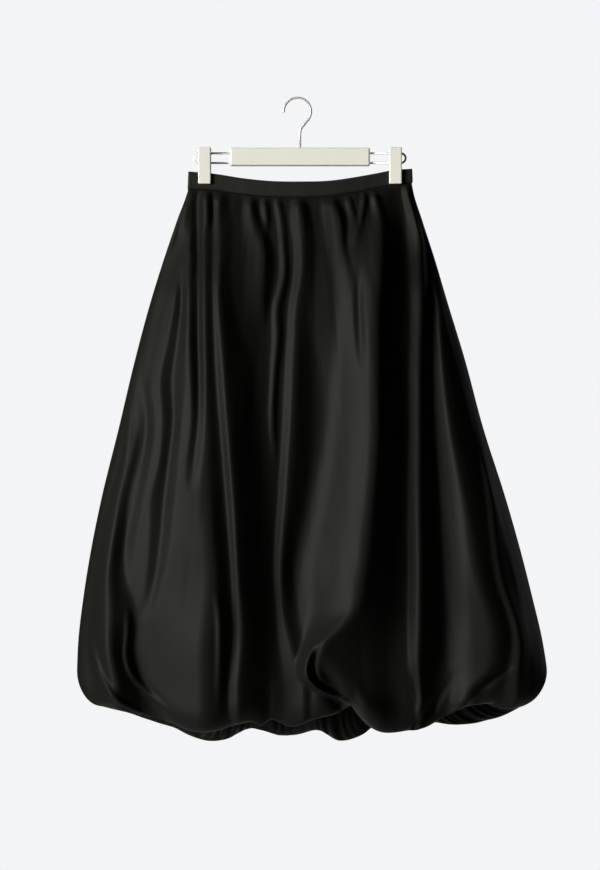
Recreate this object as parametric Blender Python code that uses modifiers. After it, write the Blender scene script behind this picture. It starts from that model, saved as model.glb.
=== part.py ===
"""Balloon skirt on a clip hanger.

A long satin skirt is gathered into a narrow waistband. Its hem is gathered too and turned under, so the cloth
balloons out and rolls in at the bottom. Two clips on a hanger's wire loops hold it by the waistband.

Metres, +Z up, front towards -Y. The origin is the inner top of the hanger's hook, where the hook rests.
Heights in the tables are drops below the origin, in millimetres, and x is measured from the skirt's middle line.
"""

import math
from collections import namedtuple

import bmesh
import bpy
import numpy as np
from mathutils import Vector

MM = 0.001
GAP = 0.3  # free space between neighbouring pieces, mm
MIDDLE_X = 4.0  # the skirt's middle line and the hook's stem stand this far right of the hook's top, mm

# ---------------------------------------------------------------- cloth walls, mm
SKIRT_WALL = 1.2
BAND_WALL = 2.6

# ---------------------------------------------------------------- rings: half-widths and depths at each drop, mm
Section = namedtuple("Section", "drop left right front back")
SKIRT_SECTIONS = [
    Section(120, 166, 167, 9, 8),
    Section(136, 168, 169, 9, 8),
    Section(182, 184, 183, 16, 13),
    Section(241, 204, 202, 27, 19),
    Section(302, 223, 220, 37, 25),
    Section(391, 247, 247, 50, 33),
    Section(492, 271, 274, 60, 40),
    Section(602, 298, 309, 68, 46),
    Section(676, 313, 330, 72, 50),
    Section(751, 325, 349, 75, 52),
    Section(811, 332, 363, 77, 54),
    Section(856, 334, 370, 78, 55),
    Section(960, 334, 370, 78, 55),
]
INNER_HEM_SECTIONS = [Section(820, 231, 245, 38, 22), Section(860, 232, 246, 38, 22)]
BAND_SECTIONS = [Section(100, 166, 167, 9, 8), Section(150, 168, 169, 9, 8)]

# How the rings change from the pinched waist to the open skirt below it.
WAIST_DROP = 136.0  # where the rings are still pinched flat at the sides
OPEN_DROP = 300.0  # where they are plain ovals
PINCH_POWER = 4.0  # at the waist the depth falls off towards the sides as this power of the oval's
SKIRT_OPEN_POWER = 1.0  # and from OPEN_DROP down as this power: 1 is the oval, less is flatter in front
INNER_HEM_POWER = 0.6  # the turned-under hem's inner end is flatter than an oval
SKIRT_EDGE_RADIUS = (2.6, 12.0)  # the side folds' radius at the waist and from OPEN_DROP down, mm
INNER_HEM_EDGE_RADIUS = (8.0, 8.0)
BAND_EDGE_RADIUS = (2.0, 2.0)
SEAM_STRIP = 3.0  # the panels run straight down from the waist seam over this height, mm
SEAM_LIP = 0.4  # the walls meet square at a side seam, over this short straight stretch, mm

# ---------------------------------------------------------------- waistband edges: drop along x, mm
Edge = namedtuple("Edge", "x drop")
BAND_TOP = [
    Edge(-168, 109), Edge(-126, 113), Edge(-90, 119), Edge(-45, 124), Edge(0, 125),
    Edge(45, 123.5), Edge(80, 118.5), Edge(110, 113), Edge(145, 106.5), Edge(169, 105),
]
BAND_SEAM = [
    Edge(-168, 135), Edge(-127, 137), Edge(-100, 141), Edge(-60, 146), Edge(0, 148),
    Edge(60, 144.5), Edge(90, 139), Edge(120, 133), Edge(147, 128.5), Edge(169, 125),
]

# ---------------------------------------------------------------- hem: drop of the turned edge along x, mm
HEM_FRONT = [
    Edge(-285, 908), Edge(-250, 908), Edge(-206, 917), Edge(-166, 930), Edge(-140, 939), Edge(-112, 937),
    Edge(-81, 927), Edge(-62, 926), Edge(-54, 932), Edge(-44, 924), Edge(-15, 933), Edge(18, 921),
    Edge(48, 912), Edge(66, 901), Edge(77, 917), Edge(94, 935), Edge(134, 940), Edge(162, 934),
    Edge(181, 921), Edge(202, 908), Edge(228, 901), Edge(250, 901), Edge(272, 909), Edge(303, 905),
]
HEM_BACK = [
    Edge(-285, 908), Edge(-250, 920), Edge(-200, 938), Edge(-172, 950), Edge(-136, 966), Edge(-109, 968),
    Edge(-64, 950), Edge(-30, 961), Edge(0, 960), Edge(20, 953), Edge(53, 969), Edge(80, 960),
    Edge(100, 946), Edge(150, 938), Edge(203, 943), Edge(238, 940), Edge(270, 928), Edge(303, 905),
]
HEM_RADIUS_MIDDLE = 34.0  # how far above its lowest line the hem starts to roll under, at the front and back
HEM_RADIUS_SIDE = 54.0  # and at the sides
HEM_SIDE_POWER = 5  # how late towards the sides the roll's radius grows
HEM_END_DROP = 832.0  # the turned-under hem's gathered end lies inside on this level
HEM_ROLL_SHARE = 0.8  # the roll takes the cloth this share of the way in to that end
HEM_END_STRIP = 8.0  # the gathered end runs straight up over this height

# ---------------------------------------------------------------- folds
# A fold runs down through its stations: it rises from left to crest and falls again to right, all counted along x.
Station = namedtuple("Station", "drop left crest right height")
FRONT_FOLDS = {
    "left_edge": [
        Station(440, -272, -262, -250, 0), Station(511, -268, -257, -240, 4), Station(614, -292, -274, -257, 8),
        Station(717, -314, -287, -256, 15), Station(776, -320, -287, -240, 24), Station(820, -322, -286, -248, 28),
        Station(878, -316, -276, -236, 28),
    ],
    "left_hill": [
        Station(150, -182, -144, -70, 7), Station(199, -190, -144, -60, 14), Station(304, -222, -144, -47, 26),
        Station(408, -247, -143, -47, 27), Station(511, -262, -141, -45, 27), Station(614, -280, -142, -37, 28),
        Station(658, -275, -136, -36, 29), Station(717, -268, -130, -35, 30), Station(776, -255, -137, -34, 32),
        Station(805, -246, -141, -34, 33), Station(878, -236, -143, -29, 31),
    ],
    "left_ridge": [
        Station(150, -133, -121, -104, 6), Station(199, -131, -120, -98, 10), Station(304, -132, -120, -98, 11),
        Station(408, -128, -112, -64, 16), Station(511, -120, -105, -54, 19), Station(614, -112, -97, -40, 20),
        Station(717, -105, -91, -35, 16), Station(805, -106, -84, -34, 12), Station(878, -110, -91, -29, 12),
    ],
    "second_ridge": [
        Station(735, -132, -124, -116, 0), Station(776, -129, -119, -110, 6), Station(840, -128, -119, -108, 5),
        Station(910, -130, -121, -110, 0),
    ],
    "centre_valley": [
        Station(150, -120, -30, 60, -1), Station(199, -130, -28, 70, -3), Station(304, -144, -25, 85, -8),
        Station(408, -143, -22, 92, -15), Station(511, -141, -20, 95, -19), Station(614, -148, -20, 90, -22),
        Station(717, -150, -25, 76, -22), Station(805, -143, -15, 40, -18), Station(878, -144, -5, 30, -12),
    ],
    "middle_thin": [
        Station(142, -44, -37, -29, 6), Station(177, -38, -29, -19, 4), Station(221, -34, -25, -15, 7),
        Station(266, -34, -24, -15, 8), Station(290, -39, -29, -18, 8), Station(304, -43, -33, -21, 8),
        Station(363, -45, -34, -24, 8), Station(408, -47, -38, -30, 7), Station(490, -50, -41, -33, 5),
        Station(550, -46, -37, -29, 0),
    ],
    "middle": [
        Station(142, -14, -5, 10, 7), Station(177, -19, 2, 22, 10), Station(221, -12, 4, 33, 11),
        Station(245, -10, 4, 34, 12), Station(266, -10, 2, 34, 12), Station(304, -17, -4, 32, 12),
        Station(363, -22, -7, 30, 13), Station(408, -25, -9, 28, 13), Station(481, -28, -12, 24, 13),
        Station(540, -31, -16, 18, 13), Station(599, -35, -20, 12, 12), Station(717, -40, -28, -8, 11),
        Station(776, -37, -24, 2, 8), Station(820, -36, -13, 9, 10), Station(878, -28, 4, 18, 8),
    ],
    "right_panel": [
        Station(142, 28, 118, 156, 8), Station(177, 30, 120, 157, 13), Station(199, 34, 121, 157, 20),
        Station(245, 40, 120, 157, 26), Station(304, 43, 115, 156, 29), Station(408, 38, 113, 155, 35),
        Station(511, 27, 113, 155, 38), Station(614, 10, 104, 154, 40), Station(717, -9, 91, 154, 41),
        Station(776, 6, 66, 154, 41), Station(805, 4, 40, 154, 41), Station(830, -4, 18, 154, 41),
        Station(850, -8, 12, 154, 40), Station(868, -3, 16, 154, 39), Station(882, 12, 32, 154, 37),
        Station(895, 38, 58, 154, 35), Station(908, 58, 80, 154, 33),
    ],
    "right_narrow": [
        Station(128, 147, 160, 176, 6), Station(150, 152, 172, 184, 8), Station(177, 156, 182, 192, 11),
        Station(221, 153, 182, 196, 13), Station(245, 153, 182, 197, 13), Station(304, 160, 183, 198, 12),
        Station(363, 161, 181, 198, 12), Station(408, 160, 180, 197, 13), Station(511, 160, 180, 198, 14),
        Station(614, 159, 179, 206, 15), Station(717, 159, 179, 212, 16), Station(805, 158, 178, 210, 16),
        Station(850, 160, 177, 200, 13), Station(880, 166, 179, 194, 10), Station(905, 172, 181, 190, 8),
    ],
    "right_valley": [
        Station(408, 177, 198, 212, -3), Station(511, 176, 200, 226, -7), Station(614, 176, 206, 240, -10),
        Station(717, 176, 211, 252, -12), Station(805, 176, 212, 260, -12), Station(878, 175, 206, 262, -9),
    ],
    "right_broad": [
        Station(245, 190, 198, 210, 0), Station(304, 199, 207, 240, 6), Station(363, 199, 211, 270, 9),
        Station(481, 200, 225, 330, 15), Station(599, 208, 248, 370, 21), Station(717, 210, 268, 400, 26),
        Station(805, 214, 292, 420, 28), Station(850, 212, 288, 420, 27), Station(880, 204, 272, 420, 24),
        Station(905, 192, 250, 420, 20),
    ],
    "right_edge": [
        Station(440, 246, 258, 270, 0), Station(481, 256, 267, 280, 4), Station(599, 274, 286, 302, 6),
        Station(717, 288, 301, 320, 6), Station(805, 312, 327, 346, 10), Station(878, 300, 326, 348, 13),
    ],
}
BACK_FOLDS = {
    "left_edge": [
        Station(300, -256, -232, -216, 0), Station(450, -276, -252, -232, 8), Station(600, -292, -262, -242, 12),
        Station(900, -306, -272, -248, 13),
    ],
    "left_broad": [
        Station(150, -170, -150, -134, 10), Station(450, -218, -184, -162, 18), Station(900, -250, -204, -178, 22),
    ],
    "left_narrow": [
        Station(150, -122, -104, -90, 10), Station(380, -134, -112, -96, 10), Station(600, -150, -127, -108, 6),
        Station(720, -160, -136, -116, 0),
    ],
    "left_middle": [
        Station(150, -84, -62, -44, 12), Station(460, -102, -70, -44, 20), Station(930, -140, -96, -60, 26),
    ],
    "middle_thin": [
        Station(150, -34, -18, -6, 8), Station(300, -38, -22, -8, 7), Station(520, -48, -30, -16, 0),
    ],
    "middle": [
        Station(150, 6, 30, 50, 12), Station(480, -14, 26, 58, 22), Station(930, -44, 12, 52, 28),
    ],
    "right_thin": [
        Station(150, 62, 78, 90, 8), Station(330, 70, 88, 102, 8), Station(600, 74, 96, 112, 0),
    ],
    "right_middle": [
        Station(150, 98, 120, 138, 12), Station(460, 98, 132, 160, 18), Station(930, 82, 128, 162, 22),
    ],
    "right_broad": [
        Station(160, 132, 152, 168, 8), Station(500, 174, 206, 228, 16), Station(900, 188, 232, 260, 20),
    ],
    "right_edge": [
        Station(380, 218, 236, 250, 0), Station(620, 254, 276, 292, 9), Station(890, 274, 300, 318, 12),
    ],
}
# A pinch draws the cloth in at the hem's edge, between two lobes. It leans to the right by lean for each mm upwards.
Pinch = namedtuple("Pinch", "x lean width depth reach")
FRONT_PINCHES = [
    Pinch(-212, -0.6, 22, 9, 60),
    Pinch(-56, 0.1, 15, 15, 70),
    Pinch(66, -0.5, 22, 8, 90),
    Pinch(180, 0.8, 15, 14, 60),
    Pinch(222, 0.2, 20, 8, 70),
    Pinch(264, 0.6, 15, 7, 50),
]
BACK_PINCHES = [
    Pinch(-220, 0.3, 20, 12, 70),
    Pinch(-150, -0.3, 18, 12, 60),
    Pinch(-62, 0.4, 16, 18, 90),
    Pinch(22, -0.4, 16, 16, 80),
    Pinch(104, 0.3, 18, 14, 100),
    Pinch(176, -0.2, 16, 12, 60),
    Pinch(250, 0.4, 18, 12, 60),
]
# Each slope of a fold is rounded at its foot and at its crest, over a share of its width between a least and a most.
FOOT_SHARE, FOOT_LEAST, FOOT_MOST = 0.32, 7.0, 26.0
CREST_SHARE, CREST_LEAST, CREST_MOST = 0.24, 6.0, 13.0
ROUND_MOST = 0.45
FOLD_BLUR = 5.0  # the folds are averaged with themselves this far to the left and right, mm
WAIST_EASE = 34.0  # the folds start flat at the waist seam and stand free this far below it, mm
LEAST_DEPTH = 1.5  # no fold brings a panel's middle surface nearer than this to the other panel, mm
SIDE_EASE = 0.09  # share of the half-width over which the folds die out towards the side seams
SIDEWAYS_FROM, SIDEWAYS_FULL = 0.6, 0.95  # folds lift the cloth sideways only where it faces the side seams
EYE_DISTANCE, EYE_DROP = 3600.0, 504.0  # the folds' places are as they look from this far in front, at this height
HEM_GATHERS = 16  # small pleats round each half of the hem's sewn-in edge
HEM_GATHER_HEIGHT = 2.2
HEM_GATHERS_END = 0.97  # share of the half ring from its middle to where the small pleats stop

# ---------------------------------------------------------------- how finely the cloth is divided
FRONT_COLUMNS = 80
BACK_COLUMNS = 48
FALL_ROWS = 18
ROLL_ROWS = 7
BAND_COLUMNS = 30
TURN_WEIGHT = 22.0  # a turn of one radian gets as many columns as this length of straight cloth, mm
RING_SAMPLES = 361
RING_END_SAMPLES = 40
RING_LEVELS = 70

# ---------------------------------------------------------------- hanger, mm
WIRE = 3.6  # the hook's wire
HOOK_RADIUS = 20.4  # centre line of the hook's arc
HOOK_START_DEG = 184.0
HOOK_END_DEG = -38.0
HOOK_STEPS = 22
NECK_DROP = 46.0  # the hook's end bends into the upright stem here
NECK_START_SHARE = 0.3  # the bend starts this share of the way from here to the arc's end
NECK_LENGTH = 8.0  # and ends this far below here
NECK_STEPS = 5
BAR_WIDTH = 210.0
BAR_DEPTH = 13.0
BAR_TOP = 73.5
BAR_HEIGHT = 27.0
BAR_EDGE = 2.5
ROD = 3.2
ROD_DROPS = (81.5, 96.0)
ROD_REACH = 160.0
ROD_STEPS = 10
CLIP_X = 143.0
CLIP_WIDTH = 19.0
CLIP_TOP = 73.0
CLIP_LOW = 128.0
CLIP_HALF_DEPTH = 9.5
CLIP_MOUTH = 5.6  # half the gap between the jaws
CLIP_MOUTH_DROP = 102.0
CLIP_EDGE = 1.5
BORE_CLEARANCE = 0.5  # round the rods in the clips
BORE_SIDES = 12
CUT_MARGIN = 2.0  # how far a cutter runs past the clip on each side

# ---------------------------------------------------------------- colours: base colour, roughness, metallic
SATIN = ((0.012, 0.012, 0.012, 1.0), 0.38, 0.0)
CREAM_PLASTIC = ((0.80, 0.78, 0.68, 1.0), 0.4, 0.0)
STEEL = ((0.72, 0.71, 0.68, 1.0), 0.28, 1.0)


# ================================================================ curves and rings
def smooth_step(t):
    t = np.clip(t, 0.0, 1.0)
    return t * t * (3.0 - 2.0 * t)


def curve_through(x, xs, ys):
    """A smooth curve through the rows (xs, ys), read at x."""
    xs, ys = np.asarray(xs, float), np.asarray(ys, float)
    slopes = np.gradient(ys, xs)
    x = np.clip(x, xs[0], xs[-1])
    i = np.clip(np.searchsorted(xs, x) - 1, 0, len(xs) - 2)
    h = xs[i + 1] - xs[i]
    t = (x - xs[i]) / h
    start = ys[i] * (1 + 2 * t) * (1 - t) ** 2 + slopes[i] * h * t * (1 - t) ** 2
    end = ys[i + 1] * (3 - 2 * t) * t**2 + slopes[i + 1] * h * t**2 * (t - 1)
    return start + end


def column(rows, name):
    return [getattr(row, name) for row in rows]


def edge_drop(rows, x):
    return curve_through(x, column(rows, "x"), column(rows, "drop"))


def section_at(sections, drop):
    drops = column(sections, "drop")
    return Section(drop, *(float(curve_through(drop, drops, column(sections, name)))
                           for name in ("left", "right", "front", "back")))


def half_ring(sections, drop, edge_radii, open_power, side, fractions):
    """Points and outward normals of the front (side -1) or back (side +1) half of the ring at this drop.

    The half ring is an oval, pinched flat towards its ends at the waist, and rounded by edge_radius at the ends.
    Columns come out as rows of x, y, normal x, normal y."""
    section = section_at(sections, drop)
    opened = float(smooth_step((drop - WAIST_DROP) / (OPEN_DROP - WAIST_DROP)))
    radius = edge_radii[0] + (edge_radii[1] - edge_radii[0]) * opened
    power = PINCH_POWER + (open_power - PINCH_POWER) * opened
    half = (section.left + section.right) / 2 - radius
    middle = (section.right - section.left) / 2
    depth = (section.front if side < 0 else section.back)
    angle = np.linspace(-math.pi / 2, math.pi / 2, RING_SAMPLES)
    x = half * np.sin(angle)
    y = side * depth * np.clip(np.cos(angle), 0, 1) ** power
    tangent = np.stack([np.gradient(x), np.gradient(y)])
    heading = np.unwrap(np.arctan2(tangent[1], tangent[0]))
    turn = np.linspace(0, 1, RING_END_SAMPLES)
    first = side * math.pi / 2 + (heading[0] - side * math.pi / 2) * turn
    last = heading[-1] + (-side * math.pi / 2 - heading[-1]) * turn
    heading = np.concatenate([first, heading, last])
    x = np.concatenate([np.full(RING_END_SAMPLES, x[0]), x, np.full(RING_END_SAMPLES, x[-1])])
    y = np.concatenate([np.full(RING_END_SAMPLES, y[0]), y, np.full(RING_END_SAMPLES, y[-1])])
    normal = np.stack([-side * np.sin(heading), side * np.cos(heading)])
    x = middle + x + radius * normal[0]
    y = y + radius * normal[1]
    step = np.hypot(np.diff(x), np.diff(y)) + TURN_WEIGHT * np.abs(np.diff(heading))
    along = np.concatenate([[0.0], np.cumsum(step)])
    along /= along[-1]
    ring = np.stack([np.interp(fractions, along, values) for values in (x, y, normal[0], normal[1])], axis=1)
    ring[:, 1] += side * (GAP / 2 + SEAM_LIP)
    ends = ring[[0, -1]]
    ends[:, 1] = side * GAP / 2
    return np.concatenate([ends[:1], ring, ends[1:]])


class Rings:
    """Half rings of one piece at many levels, read at any drop, column by column."""

    def __init__(self, sections, edge_radii, open_power, side, columns):
        spread = np.linspace(0.0, 1.0, columns - 1)
        self.fractions = np.concatenate([[0.0], spread, [1.0]])
        self.levels = np.linspace(sections[0].drop, sections[-1].drop, RING_LEVELS)
        self.rings = np.stack([half_ring(sections, d, edge_radii, open_power, side, spread) for d in self.levels])

    def at(self, drops):
        """drops holds one drop for each column. Returns a row of x, y, normal x, normal y for each column."""
        place = np.interp(drops, self.levels, np.arange(RING_LEVELS))
        low = np.clip(place.astype(int), 0, RING_LEVELS - 2)
        share = (place - low)[:, None]
        j = np.arange(len(self.fractions))
        return self.rings[low, j] * (1 - share) + self.rings[low + 1, j] * share


# ================================================================ folds
def rounded_ramp(t, width):
    """From 0 to 1 on an even slope of this width, rounded at both ends."""
    t = np.clip(t, 0, 1)
    foot = np.minimum(np.clip(FOOT_SHARE * width, FOOT_LEAST, FOOT_MOST) / width, ROUND_MOST)
    crest = np.minimum(np.clip(CREST_SHARE * width, CREST_LEAST, CREST_MOST) / width, ROUND_MOST)
    steep = 1 / (1 - foot / 2 - crest / 2)
    middle = steep * (t - foot / 2)
    return np.where(t < foot, steep * t**2 / (2 * foot),
                    np.where(t > 1 - crest, 1 - steep * (1 - t) ** 2 / (2 * crest), middle))


def fold_height(stations, x, drop):
    """How far one fold lifts the cloth at x and drop."""
    drops = column(stations, "drop")
    left, crest, right, height = (curve_through(drop, drops, column(stations, name))
                                  for name in ("left", "crest", "right", "height"))
    width = np.where(x < crest, crest - left, right - crest)
    return height * rounded_ramp(1 - np.abs(x - crest) / width, width)


def pinch_depth(pinch, x, above_hem):
    """How far one pinch draws the cloth in, at x and this high above the hem."""
    away = (x - pinch.x - pinch.lean * above_hem) / pinch.width
    return pinch.depth * np.exp(-away**2) * smooth_step(1 - above_hem / pinch.reach)


def relief(folds, pinches, x, drop, seam_drop, hem_drop, side_share):
    """All folds and pinches together, flat at the waist seam and at the side seams."""
    total = sum(fold_height(stations, x + shift, drop) for stations in folds.values()
                for shift in (-FOLD_BLUR, 0, FOLD_BLUR)) / 3
    total = total - sum(pinch_depth(pinch, x, hem_drop - drop) for pinch in pinches)
    waist = smooth_step((drop - seam_drop) / WAIST_EASE)
    side = smooth_step((1 - np.abs(side_share)) / SIDE_EASE)
    return total * waist * side


# ================================================================ cloth pieces
def skirt_points(side, columns, folds, pinches, hem):
    """The grid of a skirt panel: down from the waist seam, round the rolled hem and up inside to its gathered end."""
    rings = Rings(SKIRT_SECTIONS, SKIRT_EDGE_RADIUS, SKIRT_OPEN_POWER, side, columns)
    inner = Rings(INNER_HEM_SECTIONS, INNER_HEM_EDGE_RADIUS, INNER_HEM_POWER, side, columns)
    end = inner.at(np.full(columns + 1, HEM_END_DROP))
    low = rings.at(np.full(columns + 1, HEM_END_DROP))
    hem_x = (low[:, 0] + end[:, 0]) / 2
    hem_drop = edge_drop(hem, hem_x)
    top = rings.at(np.full(columns + 1, WAIST_DROP))
    top_drop = edge_drop(BAND_SEAM, top[:, 0]) + GAP
    share_along = np.abs(2 * rings.fractions - 1)
    radius = HEM_RADIUS_MIDDLE + (HEM_RADIUS_SIDE - HEM_RADIUS_MIDDLE) * share_along**HEM_SIDE_POWER
    turn_drop = hem_drop - radius

    def outside(drops):
        ring = rings.at(drops)
        half_width = np.where(ring[:, 0] < 0, -ring[0, 0], ring[-1, 0])
        depth = side * ring[:, 1]
        nearer = 1 + depth / EYE_DISTANCE
        height = relief(folds, pinches, ring[:, 0] * nearer, EYE_DROP + (drops - EYE_DROP) * nearer, top_drop,
                        hem_drop, ring[:, 0] / half_width)
        facing = np.abs(ring[:, 2])
        sideways = ring[:, 2] * smooth_step((facing - SIDEWAYS_FROM) / (SIDEWAYS_FULL - SIDEWAYS_FROM))
        lifted = np.maximum(depth + np.sqrt(1 - sideways**2) * height, np.minimum(LEAST_DEPTH, depth))
        return ring[:, 0] + sideways * height, side * lifted

    x, y = outside(top_drop)
    rows = [np.stack([x, y, -top_drop], axis=1)]
    for t in np.linspace(0, 1, FALL_ROWS + 1):
        drops = top_drop + SEAM_STRIP + (turn_drop - top_drop - SEAM_STRIP) * t
        if t > 0:
            x, y = outside(drops)
        rows.append(np.stack([x, y, -drops], axis=1))
    sideways = rings.at(turn_drop)[:, 2] ** 2
    gather = HEM_GATHER_HEIGHT * np.sin(2 * math.pi * HEM_GATHERS * rings.fractions) * (share_along < HEM_GATHERS_END)
    for angle in np.linspace(0, math.pi, ROLL_ROWS + 1)[1:]:
        share = HEM_ROLL_SHARE * (1 - math.cos(angle)) / 2
        drops = turn_drop + radius * math.sin(angle)
        outer_x, outer_y = outside(turn_drop + radius * math.sin(min(angle, math.pi / 2)))
        x = outer_x + (end[:, 0] - outer_x) * share * (sideways + (1 - sideways) * share)
        y = outer_y + (end[:, 1] - outer_y) * share
        rows.append(np.stack([x, y + gather * max(0.0, -math.cos(angle)), -drops], axis=1))
    rolled = rows[-1]
    sewn = np.stack([end[:, 0], end[:, 1], np.full(columns + 1, -HEM_END_DROP)], axis=1)
    below = sewn - [0, 0, HEM_END_STRIP]
    rows.append((rolled + below) / 2)
    rows.append(below)
    rows.append(sewn)
    return np.stack(rows)


def band_points(side):
    rings = Rings(BAND_SECTIONS, BAND_EDGE_RADIUS, SKIRT_OPEN_POWER, side, BAND_COLUMNS)
    x = rings.at(np.full(BAND_COLUMNS + 1, WAIST_DROP))[:, 0]
    rows = []
    for edge in (BAND_TOP, BAND_SEAM):
        drops = edge_drop(edge, x)
        ring = rings.at(drops)
        rows.append(np.stack([ring[:, 0], ring[:, 1], -drops], axis=1))
    return np.stack(rows)


def cloth_wall(name, points, side, wall, finish, collection):
    """A wall of cloth: the grid as an open surface with Solidify, standing astride the grid.

    Folds run more upright than the columns, so each square is split from its outer upper to its inner lower corner.
    """
    rows, columns = points.shape[:2]
    coords = (points.reshape(-1, 3) + [MIDDLE_X, 0, 0]) * MM
    faces = []
    for i in range(rows - 1):
        for j in range(columns - 1):
            a = i * columns + j
            below = a + columns
            if points[i, j, 0] + points[i, j + 1, 0] > 0:
                halves = (a, below, a + 1), (below, below + 1, a + 1)
            else:
                halves = (a, below, below + 1), (a, below + 1, a + 1)
            faces += [half if side < 0 else half[::-1] for half in halves]
    mesh = bpy.data.meshes.new(name)
    mesh.from_pydata(coords.tolist(), [], faces)
    mesh.shade_smooth()
    piece = bpy.data.objects.new(name, mesh)
    collection.objects.link(piece)
    shell = piece.modifiers.new("Wall", "SOLIDIFY")
    shell.thickness = wall * MM
    shell.offset = 0.0
    mesh.materials.append(finish)
    return piece


# ================================================================ hanger
def wire_object(name, points, diameter, finish, collection):
    """A round wire along the points, with closed ends."""
    curve = bpy.data.curves.new(name, "CURVE")
    curve.dimensions = "3D"
    curve.bevel_depth = diameter / 2 * MM
    curve.bevel_resolution = 2
    curve.resolution_u = 1
    curve.render_resolution_u = 0
    curve.use_fill_caps = True
    spline = curve.splines.new("POLY")
    spline.points.add(len(points) - 1)
    for place, point in zip(spline.points, points):
        place.co = (*(Vector(point) * MM), 1.0)
    curve.materials.append(finish)
    wire = bpy.data.objects.new(name, curve)
    collection.objects.link(wire)
    return wire


def arc_points(centre, radius, start_deg, end_deg, steps):
    """Points of an arc in the XZ plane, counted from +X towards +Z."""
    angles = [math.radians(start_deg + (end_deg - start_deg) * i / steps) for i in range(steps + 1)]
    return [(centre[0] + radius * math.cos(a), 0.0, centre[1] + radius * math.sin(a)) for a in angles]


def bend(start, corner, end, steps):
    """A smooth bend from start to end, pulled towards the corner."""
    points = []
    for i in range(1, steps + 1):
        t = i / steps
        points.append(tuple((1 - t) ** 2 * s + 2 * t * (1 - t) * c + t * t * e
                            for s, c, e in zip(start, corner, end)))
    return points


def hook_points():
    arc_centre = (0.0, WIRE / 2 - HOOK_RADIUS)
    points = arc_points(arc_centre, HOOK_RADIUS, HOOK_START_DEG, HOOK_END_DEG, HOOK_STEPS)
    corner = (MIDDLE_X, 0.0, -NECK_DROP)
    last = points[-1]
    before = tuple(c + (l - c) * NECK_START_SHARE for c, l in zip(corner, last))
    points.append(before)
    points += bend(before, corner, (MIDDLE_X, 0.0, -NECK_DROP - NECK_LENGTH), NECK_STEPS)
    points.append((MIDDLE_X, 0.0, -BAR_TOP + GAP))
    return points


def rod_points(side):
    """One wire loop: out along the upper rod, round the end and back along the lower rod."""
    upper, lower = ROD_DROPS
    radius = (lower - upper) / 2
    start = BAR_WIDTH / 2 + GAP
    turn = ROD_REACH - radius - ROD / 2
    points = [(start, 0.0, -upper)]
    points += arc_points((turn, -(upper + lower) / 2), radius, 90, -90, ROD_STEPS)
    points.append((start, 0.0, -lower))
    return [(MIDDLE_X + side * x, y, z) for x, y, z in points]


def bevelled(piece, width, segments=2):
    edge = piece.modifiers.new("Rounded edges", "BEVEL")
    edge.width = width * MM
    edge.segments = segments
    edge.limit_method = "ANGLE"


def box_object(name, centre, size, finish, collection):
    """A box from its centre and size, in millimetres."""
    mesh = bpy.data.meshes.new(name)
    form = bmesh.new()
    bmesh.ops.create_cube(form, size=1.0)
    bmesh.ops.scale(form, vec=Vector(size) * MM, verts=form.verts)
    form.to_mesh(mesh)
    form.free()
    box = bpy.data.objects.new(name, mesh)
    box.location = Vector(centre) * MM
    mesh.materials.append(finish)
    collection.objects.link(box)
    return box


def clip_object(name, x, finish, collection, cutters):
    """A clip: a block with two bores for the rods, and two jaws on either side of the waistband."""
    height = CLIP_LOW - CLIP_TOP
    clip = box_object(name, (x, 0, -(CLIP_TOP + CLIP_LOW) / 2), (CLIP_WIDTH, 2 * CLIP_HALF_DEPTH, height),
                      finish, collection)
    bevelled(clip, CLIP_EDGE)
    cut_width = CLIP_WIDTH + 2 * CUT_MARGIN
    cut_low = CLIP_LOW + CUT_MARGIN
    mouth = box_object(name + "_mouth", (x, 0, -(CLIP_MOUTH_DROP + cut_low) / 2),
                       (cut_width, 2 * CLIP_MOUTH, cut_low - CLIP_MOUTH_DROP), finish, cutters)
    holes = [mouth]
    for number, drop in enumerate(ROD_DROPS):
        mesh = bpy.data.meshes.new(f"{name}_bore_{number}")
        form = bmesh.new()
        radius = (ROD / 2 + BORE_CLEARANCE) * MM
        bmesh.ops.create_cone(form, cap_ends=True, segments=BORE_SIDES, radius1=radius, radius2=radius,
                              depth=cut_width * MM)
        form.to_mesh(mesh)
        form.free()
        bore = bpy.data.objects.new(mesh.name, mesh)
        bore.location = Vector((x, 0, -drop)) * MM
        bore.rotation_euler = (0, math.pi / 2, 0)
        cutters.objects.link(bore)
        holes.append(bore)
    for hole in holes:
        hole.hide_render = True
        hole.display_type = "WIRE"
        cut = clip.modifiers.new("Cut " + hole.name, "BOOLEAN")
        cut.operation = "DIFFERENCE"
        cut.object = hole
    return clip


# ================================================================ materials and assembly
def material(name, colour, roughness, metallic):
    made = bpy.data.materials.new(name)
    made.use_nodes = True
    shader = made.node_tree.nodes["Principled BSDF"]
    shader.inputs["Base Color"].default_value = colour
    shader.inputs["Roughness"].default_value = roughness
    shader.inputs["Metallic"].default_value = metallic
    made.diffuse_color = colour
    return made


def collection_named(name):
    made = bpy.data.collections.new(name)
    bpy.context.scene.collection.children.link(made)
    return made


def build_skirt(parts):
    satin = {name: material(name, *SATIN) for name in ("skirt_front", "skirt_back",
                                                        "waistband_front", "waistband_back")}
    for side, half in ((-1, "front"), (1, "back")):
        name = "skirt_" + half
        form = ((FRONT_COLUMNS, FRONT_FOLDS, FRONT_PINCHES, HEM_FRONT) if side < 0
                else (BACK_COLUMNS, BACK_FOLDS, BACK_PINCHES, HEM_BACK))
        cloth_wall(name, skirt_points(side, *form), side, SKIRT_WALL, satin[name], parts)
        name = "waistband_" + half
        cloth_wall(name, band_points(side), side, BAND_WALL, satin[name], parts)


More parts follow.
